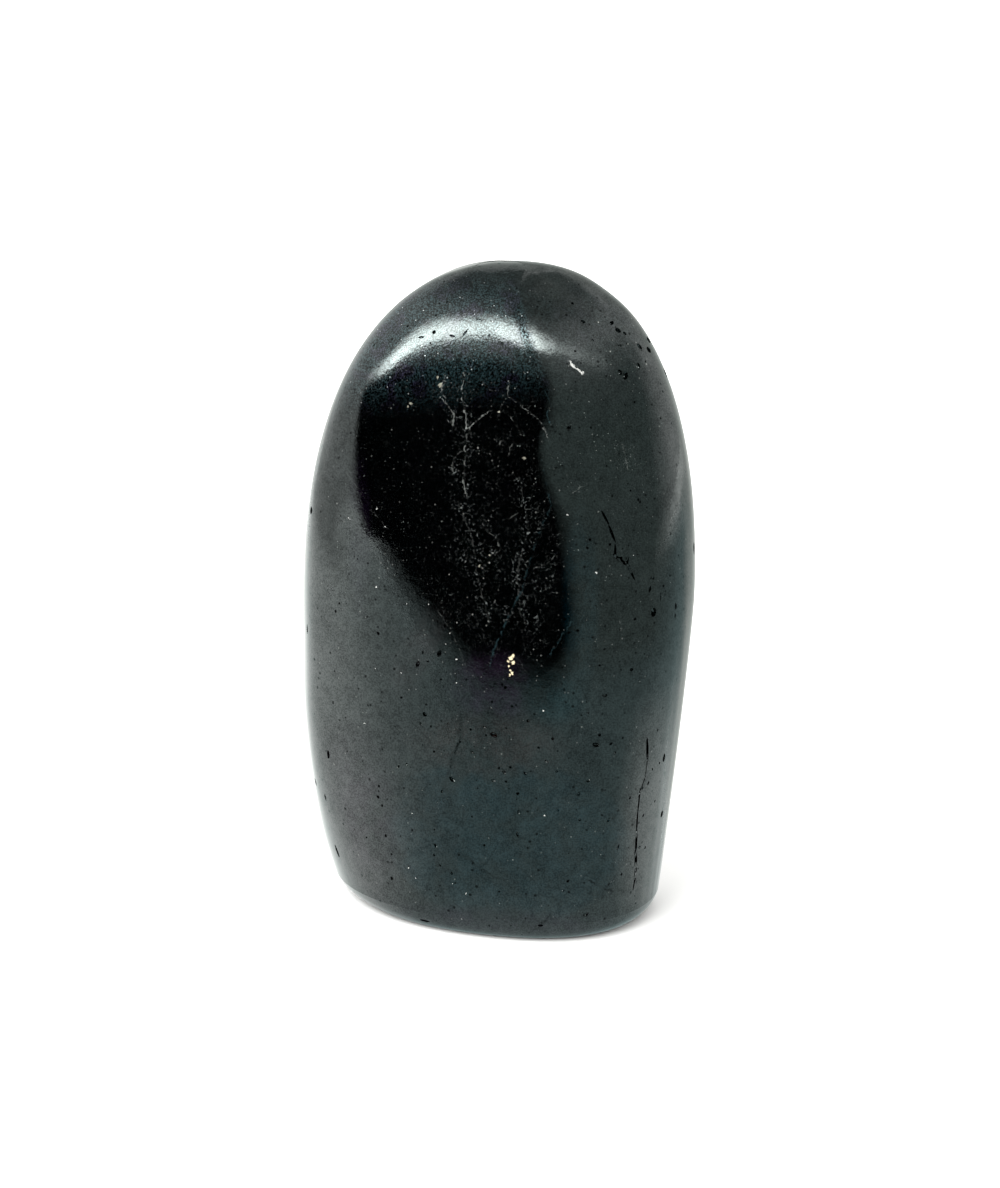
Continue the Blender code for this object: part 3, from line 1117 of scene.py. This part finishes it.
# Veins that show as teal lines
TEAL_VEINS = (
    (0.45, 0.14, ((7.9, 66.2), (6.9, 63.9), (5.8, 61.3), (5.1, 59.0), (4.4, 56.6), (3.8, 54.2))),
    (0.75, 0.15, ((3.8, 54.2), (2.6, 51.8), (1.3, 48.8), (0.0, 45.4), (-1.1, 42.0))),
    (0.5, 0.12, ((11.0, 49.8), (9.3, 47.1), (7.5, 44.1))),
    (0.4, 0.12, ((6.5, 72.6), (7.2, 69.0), (7.9, 66.2))),
    (0.8, 0.12, ((7.1, 81.9), (7.8, 80.3), (7.3, 78.9), (7.8, 77.6))),
)
# Dark lines
DARK_LINES = (
    (0.6, 0.16, ((-18.0, 45.5), (-17.0, 44.4), (-15.9, 43.4))),
    (0.8, 0.34, ((-4.7, 13.0), (-2.9, 11.5), (-1.1, 10.6), (0.8, 9.7))),
    (0.6, 0.20, ((12.8, 38.8), (13.9, 37.2), (15.0, 35.9))),
    (0.8, 0.30, ((-5.1, 34.7), (-5.1, 32.5), (-5.5, 30.0), (-6.2, 28.1), (-6.8, 26.2))),
    (0.5, 0.34, ((-6.8, 26.2), (-7.8, 22.8), (-9.2, 19.4))),
    (0.7, 0.26, ((13.9, 9.8), (15.6, 8.4), (17.4, 7.5))),
    (0.3, 0.70, ((15.4, 45.0), (16.6, 42.0), (17.8, 38.6))),
    (0.6, 0.18, ((8.0, 4.8), (7.3, 3.6), (5.8, 2.4), (4.6, 1.4))),
    (0.4, 0.16, ((-18.3, 48.3), (-15.8, 44.2), (-13.3, 40.1), (-10.7, 33.6))),
    (0.3, 0.14, ((-13.6, 33.6), (-11.9, 31.0), (-10.9, 28.4))),
)
# White grains, by place and radius
WHITE_GRAINS = (
    (-17.4, 63.9, 0.10), (-16.1, 61.4, 0.08), (-21.6, 62.0, 0.07), (-17.6, 52.4, 0.10),
    (-13.1, 50.4, 0.07), (-9.8, 50.9, 0.10), (-6.8, 55.2, 0.08), (-6.8, 46.7, 0.08),
    (-7.4, 45.0, 0.07), (-5.9, 42.9, 0.08), (-17.9, 40.1, 0.07), (-14.0, 39.9, 0.08),
    (-5.9, 39.4, 0.10), (-12.7, 37.5, 0.07), (14.3, 56.7, 0.11), (19.8, 58.7, 0.08),
    (10.2, 65.1, 0.10), (-19.5, 31.4, 0.07), (-4.5, 7.1, 0.10), (-6.5, 8.6, 0.07),
    (-12.0, 8.5, 0.08), (-13.0, 9.8, 0.07), (-12.2, 18.4, 0.08), (6.7, 36.1, 0.10),
    (7.1, 20.2, 0.10), (13.6, 25.7, 0.07),
)
# A painted glint: the highlight caught on a chip's edge under the highlight's right end, painted in as
# a white streak
PAINTED_GLINT = ((10.6, 85.9), (11.4, 85.1), (12.3, 84.4))
# Cream grains, and the larger cream inclusion
CREAM_GRAINS = (
    (-8.5, 83.2, 0.16), (-8.0, 82.1, 0.22), (-12.8, 79.0, 0.14), (-12.3, 79.2, 0.12),
    (0.3, 79.1, 0.16), (3.9, 72.8, 0.17), (-1.0, 58.6, 0.13), (-2.3, 57.0, 0.12),
)
INCLUSION = (
    (2.4, 44.2, 0.24), (2.1, 43.8, 0.26), (1.8, 43.3, 0.20), (2.4, 43.1, 0.23),
    (1.8, 42.6, 0.15), (2.1, 42.0, 0.19), (2.3, 41.5, 0.21), (1.8, 41.2, 0.14),
)
# The line on the dome where the frost and its painted haze end, with a painted dark line just beside
# it: across + RIDGE_LEAN * up is RIDGE_AT there, in mm
RIDGE_LEAN = 0.35
RIDGE_AT = 36.5
# Where curls gather on the front: how densely, and the patch's middle and half size
CURL_FIELDS = (
    (0.85, (1.0, 56.0), (11.0, 16.5)),
    (0.30, (-2.0, 64.0), (13.5, 27.0)),
)
# Tints in the polish, and one painted reflection: colour, middle, half size, turn in degrees, how
# frayed and soft the edge is
TINTS_AND_PAINTED_REFLECTION = (
    ((0.0000, 0.0030, 0.0046), (1.3, 15.5), (16.8, 11.8), 0, 0.22, 0.10),
    ((0.0056, 0.0026, 0.0052), (-20.0, 17.0), (8.0, 20.0), 8, 0.6, 0.7),
    # painted reflection: a lavender band along the foot, where the rounded edge reflects the table
    ((0.0036, 0.0014, 0.0040), (0.0, 2.2), (22.0, 3.6), 0, 0.4, 0.6),
    ((0.0050, 0.0014, 0.0060), (-0.5, 39.0), (7.5, 6.8), 10, 0.4, 0.6),
    ((0.0000, 0.0024, 0.0036), (12.2, 52.0), (3.2, 16.0), 0, 0.4, 0.5),
    ((0.0056, 0.0024, 0.0020), (-1.0, 30.5), (18.0, 7.5), 4, 0.9, 0.4),
    ((0.0000, 0.0044, 0.0058), (8.5, 38.0), (6.5, 5.5), -20, 0.7, 0.5),
    ((0.0013, 0.0003, 0.0022), (-20.0, 60.0), (2.2, 14.0), 0, 0.4, 0.6),
    ((0.0042, 0.0022, 0.0026), (-11.5, 43.5), (3.6, 10.0), -28, 0.6, 0.6),
    ((0.0058, 0.0060, 0.0054), (9.0, 94.5), (7.0, 6.5), 0, 0.4, 0.8),
)


def front_place(across, up):
    return (across, 0.0, up)


def front_view(tree, place):
    """Object coordinates seen as the photograph sees them, in mm: across, away and up."""
    turned = tree.nodes.new("ShaderNodeMapping")
    turned.vector_type = "POINT"
    turned.inputs["Rotation"].default_value = (0, 0, -math.radians(FRONT_TURN))
    turned.inputs["Scale"].default_value = (1000, 1000, 1000)
    feed(tree, turned.inputs["Vector"], place)
    parts = tree.nodes.new("ShaderNodeSeparateXYZ")
    feed(tree, parts.inputs[0], turned.outputs[0])
    return parts.outputs["X"], parts.outputs["Y"], parts.outputs["Z"]


def vein_mask(tree, kit, width, points):
    """A vein through the points: (its line, how far aside of it in mm, where it runs in height)."""
    points = sorted(points, key=lambda point: point[1])
    lowest = points[0][1]
    length = points[-1][1] - lowest
    left = min(point[0] for point in points)
    span = max(point[0] for point in points) - left
    share = arithmetic(tree, "MULTIPLY_ADD", kit.ragged_up, 1 / length, -lowest / length, clamp=True)
    course = tree.nodes.new("ShaderNodeFloatCurve")
    curve = course.mapping.curves[0]
    stops = [((z - lowest) / length, (x - left) / span) for x, z in points]
    curve.points[0].location = stops[0]
    curve.points[1].location = stops[-1]
    for stop in stops[1:-1]:
        curve.points.new(*stop)
    for point in curve.points:
        point.handle_type = "VECTOR"
    course.mapping.update()
    feed(tree, course.inputs["Value"], share)
    middle = arithmetic(tree, "MULTIPLY_ADD", course.outputs[0], span, left)
    aside = arithmetic(tree, "ABSOLUTE", arithmetic(tree, "SUBTRACT", kit.ragged_across, middle))
    past = arithmetic(tree, "SUBTRACT", kit.ragged_up, lowest + length / 2)
    past = arithmetic(tree, "ABSOLUTE", past)
    inside = between(tree, past, length / 2 + 0.3, length / 2 - 0.1)
    width = width * (1 + 0.6 * span / length)
    line = between(tree, aside, width, 0.3 * width)
    return times(tree, line, inside), aside, inside


def strongest(tree, masks):
    result = masks[0]
    for mask in masks[1:]:
        result = arithmetic(tree, "MAXIMUM", result, mask)
    return result


def vein_masks(tree, kit, veins):
    masks = []
    for strength, width, points in veins:
        masks.append(times(tree, vein_mask(tree, kit, width, points)[0], strength))
    return strongest(tree, masks)


def grain_masks(tree, kit, grains):
    """1 inside any of the grains, each a place and a radius."""
    masks = []
    for across, up, radius in grains:
        away = vector_step(tree, "DISTANCE", kit.shaken, front_place(across, up))
        masks.append(between(tree, away, radius * 1.25, radius * 0.7))
    return strongest(tree, masks)


def finish_kit(tree):
    """What every part of the finish reads: places on the stone, the groups and the broad clouds."""
    place = tree.nodes.new("ShaderNodeTexCoord").outputs["Object"]
    across, away, up = front_view(tree, place)
    facing = between(tree, away, 6.0, -2.0)
    plain = tree.nodes.new("ShaderNodeCombineXYZ")
    feed(tree, plain.inputs["X"], across)
    feed(tree, plain.inputs["Z"], up)
    front = plain.outputs[0]

    # The same places, shaken a little, so that lines and grains are ragged
    shake = tree.nodes.new("ShaderNodeTexNoise")
    feed(tree, shake.inputs["Vector"], place)
    shake.inputs["Scale"].default_value = 900.0
    shake.inputs["Detail"].default_value = 3.0
    shake.inputs["Roughness"].default_value = 0.68
    centred = vector_step(tree, "SUBTRACT", shake.outputs["Color"], (0.5, 0.5, 0.5))
    shift = vector_step(tree, "MULTIPLY", centred, (1.3, 0.0, 1.3))
    shaken = vector_step(tree, "ADD", front, shift)
    parts = tree.nodes.new("ShaderNodeSeparateXYZ")
    feed(tree, parts.inputs[0], shaken)
    nudge = vector_step(tree, "SCALE", centred, scale=0.0006)
    return SimpleNamespace(
        place=place,
        shaken_place=vector_step(tree, "ADD", place, nudge),
        front=front,
        shaken=shaken,
        across=across,
        up=up,
        ragged_across=parts.outputs["X"],
        ragged_up=parts.outputs["Z"],
        facing=facing,
        behind=arithmetic(tree, "SUBTRACT", 1.0, facing),
        ragged=clouds(tree, place, 260.0, 3.0, 0.6),
        lights=clouds(tree, place, 70.0, 3.0, 0.6, 0.3),
        patch=soft_patch_group(),
        specks=specks_group(),
        wisps=wisps_group(),
    )


def patch_mask(tree, kit, middle, half, **edge):
    """An oval patch of the front, by its middle and half size in mm."""
    return use_group(
        tree,
        kit.patch,
        Vector=kit.front,
        Middle=front_place(*middle),
        Half_size=(half[0], 1.0, half[1]),
        Ragged=kit.ragged,
        **edge,
    )["Mask"]


def black_body(tree, kit):
    """The body colour: black, with teal, violet and brown lights in it, and a painted reflection of
    the table along the foot.
    """
    body = (0.00018, 0.00022, 0.00026)
    for colour, middle, half, turn, fray, softness in TINTS_AND_PAINTED_REFLECTION:
        edge = {"Turn": math.radians(turn), "Fray": fray, "Softness": softness}
        mask = patch_mask(tree, kit, middle, half, **edge)
        body = mixed(tree, times(tree, mask, kit.facing), body, colour)
    violet = times(tree, between(tree, kit.lights, 0.56, 0.70), kit.behind)
    body = mixed(tree, violet, body, (0.0030, 0.0018, 0.0034))
    teal = times(tree, between(tree, kit.lights, 0.46, 0.32), kit.behind)
    body = mixed(tree, teal, body, (0.0004, 0.0026, 0.0034))
    patchy = between(tree, kit.ragged, 0.30, 0.66, 0.15, 1.0)
    return vector_step(tree, "SCALE", body, scale=patchy)


def net_of_veins(tree, kit):
    """The net's upright veins, and the belt beside them where curls gather."""
    chains = []
    belts = []
    for strength, width, points in NET_VEINS:
        line, aside, inside = vein_mask(tree, kit, width, points)
        chains.append(times(tree, line, strength))
        belts.append(times(tree, between(tree, aside, 2.3, 0.3), inside))
    return strongest(tree, chains), times(tree, strongest(tree, belts), kit.facing)


def where_curls_gather(tree, kit, clump, belt):
    """How densely curls lie: most on the middle of the front and beside the net."""
    fields = []
    for density, middle, half in CURL_FIELDS:
        field = patch_mask(tree, kit, middle, half, Fray=0.5, Softness=0.5)
        fields.append(times(tree, field, density))
    in_front = times(tree, strongest(tree, fields), kit.facing, clump)
    elsewhere = times(tree, between(tree, kit.lights, 0.58, 0.70, 0.04, 0.40), kit.behind)
    return strongest(tree, [in_front, elsewhere, 0.03, belt])


def curls_and_dots(tree, kit, body, spread, clump, tone):
    """Pale curls, dots and dust: (the body with them, the curls, the dots)."""
    large = use_group(tree, kit.wisps, Vector=kit.place, Scale=860.0, Line=0.022, Gaps=0.52)
    small = use_group(tree, kit.wisps, Vector=kit.place, Scale=1700.0, Line=0.045, Gaps=0.545)
    curls = arithmetic(tree, "MAXIMUM", large["Mask"], times(tree, small["Mask"], 0.8))
    curls = times(tree, curls, times(tree, spread, tone))
    body = mixed(tree, curls, body, (0.080, 0.088, 0.086))

    grains = use_group(tree, kit.specks, Vector=kit.place, Scale=1300.0, Share=0.85, Radius=0.23)
    grain_tone = arithmetic(tree, "POWER", grains["Tone"], 3.0)
    shoulder = patch_mask(tree, kit, (16.0, 89.0), (10.0, 9.0), Softness=0.7)
    share = arithmetic(tree, "MAXIMUM", times(tree, shoulder, 0.7), spread)
    share = arithmetic(tree, "MULTIPLY_ADD", share, 0.70, 0.30)
    dots = times(tree, grains["Mask"], times(tree, share, grain_tone))
    body = mixed(tree, dots, body, (0.26, 0.27, 0.25))

    dust = use_group(tree, kit.specks, Vector=kit.place, Scale=2000.0, Share=0.90, Radius=0.25)
    zone = times(tree, between(tree, kit.up, 42.0, 56.0), kit.facing)
    zone = times(tree, zone, between(tree, kit.up, 92.0, 84.0))
    dust_tone = times(tree, arithmetic(tree, "POWER", dust["Tone"], 2.5), clump)
    dust_mask = times(tree, dust["Mask"], times(tree, dust_tone, zone))
    return mixed(tree, dust_mask, body, (0.12, 0.14, 0.13)), curls, dots


def frost_and_painted_highlight(tree, kit, body):
    """Frost round the highlight, with the highlight's haze, glints and a dark ridge line painted in:
    (the body with them, the frost and painted haze, the painted glints, the painted ridge shade).
    """
    below = between(tree, arithmetic(tree, "MULTIPLY_ADD", kit.across, -0.16, kit.up), 78.5, 89.0)
    leaning = arithmetic(tree, "MULTIPLY_ADD", kit.up, RIDGE_LEAN, kit.across)
    past_ridge = between(tree, leaning, RIDGE_AT + 0.5, RIDGE_AT - 0.5, 0.15, 1.0)
    zone = times(tree, below, between(tree, kit.up, 99.0, 91.0), past_ridge, kit.facing)
    zone = arithmetic(tree, "MAXIMUM", zone, 0.012)
    # painted shade: a dark line along the ridge, where the highlight breaks
    painted_ridge_shade = arithmetic(tree, "ABSOLUTE", arithmetic(tree, "SUBTRACT", leaning, RIDGE_AT - 1.0))
    painted_ridge_shade = times(tree, between(tree, painted_ridge_shade, 1.3, 0.1), kit.facing)
    painted_ridge_shade = times(tree, painted_ridge_shade, between(tree, kit.up, 84.0, 87.0), between(tree, kit.up, 95.0, 90.0))

    grain = between(tree, clouds(tree, kit.place, 4300.0, 1.0, 0.6), 0.43, 0.66)
    frost_and_painted_haze = times(tree, grain, zone)
    hue = between(tree, clouds(tree, kit.place, 300.0, 1.0, 0.5), 0.50, 0.62)
    hue = arithmetic(tree, "SUBTRACT", hue, painted_ridge_shade, clamp=True)
    # painted haze: the highlight's teal and violet glow, painted into the colour below it
    colour = mixed(tree, hue, (0.014, 0.029, 0.033), (0.014, 0.013, 0.026))
    body = mixed(tree, frost_and_painted_haze, body, colour)
    # painted glints: bright specks where grains would catch the softbox, painted in round the
    # highlight
    bright = use_group(tree, kit.specks, Vector=kit.place, Scale=1500.0, Share=0.85, Radius=0.20)
    bright_tone = arithmetic(tree, "POWER", bright["Tone"], 2.6)
    painted_grain_glints = times(tree, bright["Mask"], times(tree, bright_tone, zone))
    return mixed(tree, painted_grain_glints, body, (0.55, 0.58, 0.57)), frost_and_painted_haze, painted_grain_glints, painted_ridge_shade


def veins_and_grains(tree, kit, body, chains, breaks, tone):
    """Veins, placed grains, the inclusion and a painted glint: (the body with them, the masks of what
    is pale).
    """
    pale = arithmetic(tree, "MAXIMUM", vein_masks(tree, kit, PALE_VEINS), chains)
    pale = times(tree, pale, times(tree, breaks, kit.facing))
    body = mixed(tree, pale, body, (0.17, 0.18, 0.17))
    teal = times(tree, vein_masks(tree, kit, TEAL_VEINS), times(tree, breaks, kit.facing))
    body = mixed(tree, teal, body, (0.012, 0.026, 0.030))
    # painted highlight: the glint streak, painted white together with the white dust grains
    painted_glint = vein_mask(tree, kit, 0.11, PAINTED_GLINT)[0]
    white = arithmetic(tree, "MAXIMUM", grain_masks(tree, kit, WHITE_GRAINS), painted_glint)
    white = times(tree, white, kit.facing)
    body = mixed(tree, white, body, (0.40, 0.40, 0.38))
    cream = times(tree, grain_masks(tree, kit, CREAM_GRAINS), kit.facing)
    cream = times(tree, cream, arithmetic(tree, "MAXIMUM", tone, 0.6))
    body = mixed(tree, cream, body, (0.26, 0.25, 0.20))
    inclusion = times(tree, grain_masks(tree, kit, INCLUSION), kit.facing)
    body = mixed(tree, inclusion, body, (0.52, 0.44, 0.28))
    return body, [pale, white, cream, inclusion]


def open_spots(tree, kit, breaks):
    """Pores and dark lines, which give no reflection."""
    sized = {"Scale": 520.0, "Share": 0.95, "Radius": 0.20}
    pores = use_group(tree, kit.specks, Vector=kit.shaken_place, **sized)["Mask"]
    sized = {"Scale": 760.0, "Share": 0.85, "Radius": 0.25}
    pinholes = use_group(tree, kit.specks, Vector=kit.shaken_place, **sized)["Mask"]
    share = between(tree, clouds(tree, kit.place, 110.0, 2.0, 0.5), 0.35, 0.50)
    pitted = patch_mask(tree, kit, (2.0, 31.0), (24.0, 12.0), Softness=0.5)
    pores = times(tree, pores, arithmetic(tree, "MAXIMUM", share, pitted))
    dark_breaks = arithmetic(tree, "MAXIMUM", breaks, 0.45)
    dark = times(tree, vein_masks(tree, kit, DARK_LINES), times(tree, dark_breaks, kit.facing))
    return strongest(tree, [pores, times(tree, pinholes, 0.8), dark])


def uneven_polish(tree, kit, pale_spots, dark_spots, painted_ridge_shade):
    """How dull the polish is: it takes unevenly, in blotches, smears and a fine grain, and a painted
    dark line darkens the ridge.
    """
    blotches = between(tree, clouds(tree, kit.place, 150.0, 3.0, 0.65), 0.38, 0.62, 0.12, 0.0)
    fine_grain = between(tree, clouds(tree, kit.place, 4300.0, 1.0, 0.7), 0.38, 0.60, 0.34, 0.0)
    smears = between(tree, clouds(tree, kit.place, 620.0, 3.0, 0.7), 0.36, 0.60, 0.15, 0.0)
    dulled = arithmetic(tree, "ADD", arithmetic(tree, "ADD", blotches, fine_grain), smears)
    # painted shade: the dark line at the ridge dulls the polish to black there
    dulled = arithmetic(tree, "MULTIPLY_ADD", painted_ridge_shade, 0.45, dulled)
    clear = arithmetic(tree, "SUBTRACT", 1.0, pale_spots, clamp=True)
    return times(tree, arithmetic(tree, "MAXIMUM", dulled, dark_spots), clear)


def ripple(tree, kit):
    """The polish's faint ripple, as a normal."""
    fine = clouds(tree, kit.place, 3600.0, 1.0, 0.6)
    coarse = clouds(tree, kit.place, 900.0, 1.0, 0.5)
    grain = times(tree, fine, between(tree, kit.up, 78.0, 88.0, 0.25, 0.36))
    grain = arithmetic(tree, "MULTIPLY_ADD", coarse, 0.5, grain)
    bump = tree.nodes.new("ShaderNodeBump")
    bump.inputs["Strength"].default_value = 1.0
    bump.inputs["Distance"].default_value = 0.000016
    feed(tree, bump.inputs["Height"], grain)
    return bump.outputs[0]


def stone_material():
    material = bpy.data.materials.new("polished_tourmaline")
    material.use_nodes = True
    tree = material.node_tree
    shader = tree.nodes["Principled BSDF"]
    shader.inputs["IOR"].default_value = 1.72
    shader.inputs["Specular Tint"].default_value = (0.88, 1.0, 0.985, 1)

    kit = finish_kit(tree)
    clump = between(tree, clouds(tree, kit.place, 230.0, 2.0, 0.6), 0.42, 0.62, 0.22, 1.0)
    tone = between(tree, clouds(tree, kit.place, 800.0, 2.0, 0.6), 0.38, 0.66, 0.20, 1.0)
    breaks = between(tree, clouds(tree, kit.place, 900.0, 2.0, 0.75), 0.44, 0.58, 0.05, 1.0)
    chains, belt = net_of_veins(tree, kit)
    spread = where_curls_gather(tree, kit, clump, belt)

    body = black_body(tree, kit)
    body, curls, dots = curls_and_dots(tree, kit, body, spread, clump, tone)
    # painted highlight haze, painted glints and a painted dark ridge line go into the colour here; the
    # frost also roughens
    body, frost_and_painted_haze, painted_grain_glints, painted_ridge_shade = frost_and_painted_highlight(tree, kit, body)
    body, pale_marks = veins_and_grains(tree, kit, body, chains, breaks, tone)
    dark_spots = open_spots(tree, kit, breaks)
    body = mixed(tree, dark_spots, body, (0.0002, 0.0002, 0.0002))
    feed(tree, shader.inputs["Base Color"], body)

    pale_spots = strongest(tree, [*pale_marks, curls, dots, painted_grain_glints])
    dulled = uneven_polish(tree, kit, pale_spots, dark_spots, painted_ridge_shade)
    feed(tree, shader.inputs["Metallic"], dulled)
    rough = arithmetic(tree, "MULTIPLY_ADD", kit.ragged, 0.035, 0.038)
    rough = arithmetic(tree, "MULTIPLY_ADD", frost_and_painted_haze, 0.05, rough)
    rough = arithmetic(tree, "MULTIPLY_ADD", pale_spots, 0.30, rough)
    feed(tree, shader.inputs["Roughness"], rough)
    feed(tree, shader.inputs["Normal"], ripple(tree, kit))
    return material


def pit_material():
    """The broken walls of the pits and cracks: dull, black and grainy."""
    material = bpy.data.materials.new("broken_tourmaline")
    material.use_nodes = True
    tree = material.node_tree
    shader = tree.nodes["Principled BSDF"]
    shader.inputs["IOR"].default_value = 1.15
    place = tree.nodes.new("ShaderNodeTexCoord").outputs["Object"]
    grain = clouds(tree, place, 2600.0, 2.0, 0.6)
    pale = between(tree, grain, 0.60, 0.72)
    wall = mixed(tree, pale, (0.0006, 0.0007, 0.0007), (0.012, 0.014, 0.013))
    feed(tree, shader.inputs["Base Color"], wall)
    feed(tree, shader.inputs["Roughness"], arithmetic(tree, "MULTIPLY_ADD", grain, 0.3, 0.45))
    bump = tree.nodes.new("ShaderNodeBump")
    bump.inputs["Distance"].default_value = 0.00008
    feed(tree, bump.inputs["Height"], grain)
    feed(tree, shader.inputs["Normal"], bump.outputs[0])
    return material


add_camera()
bpy.context.scene.view_settings.view_transform = "Standard"
add_studio()
stone = make_body()
stone.data.materials.append(stone_material())
cut_flaws(stone, pit_material())
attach(stone, "root")
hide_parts(STONE_NODE)
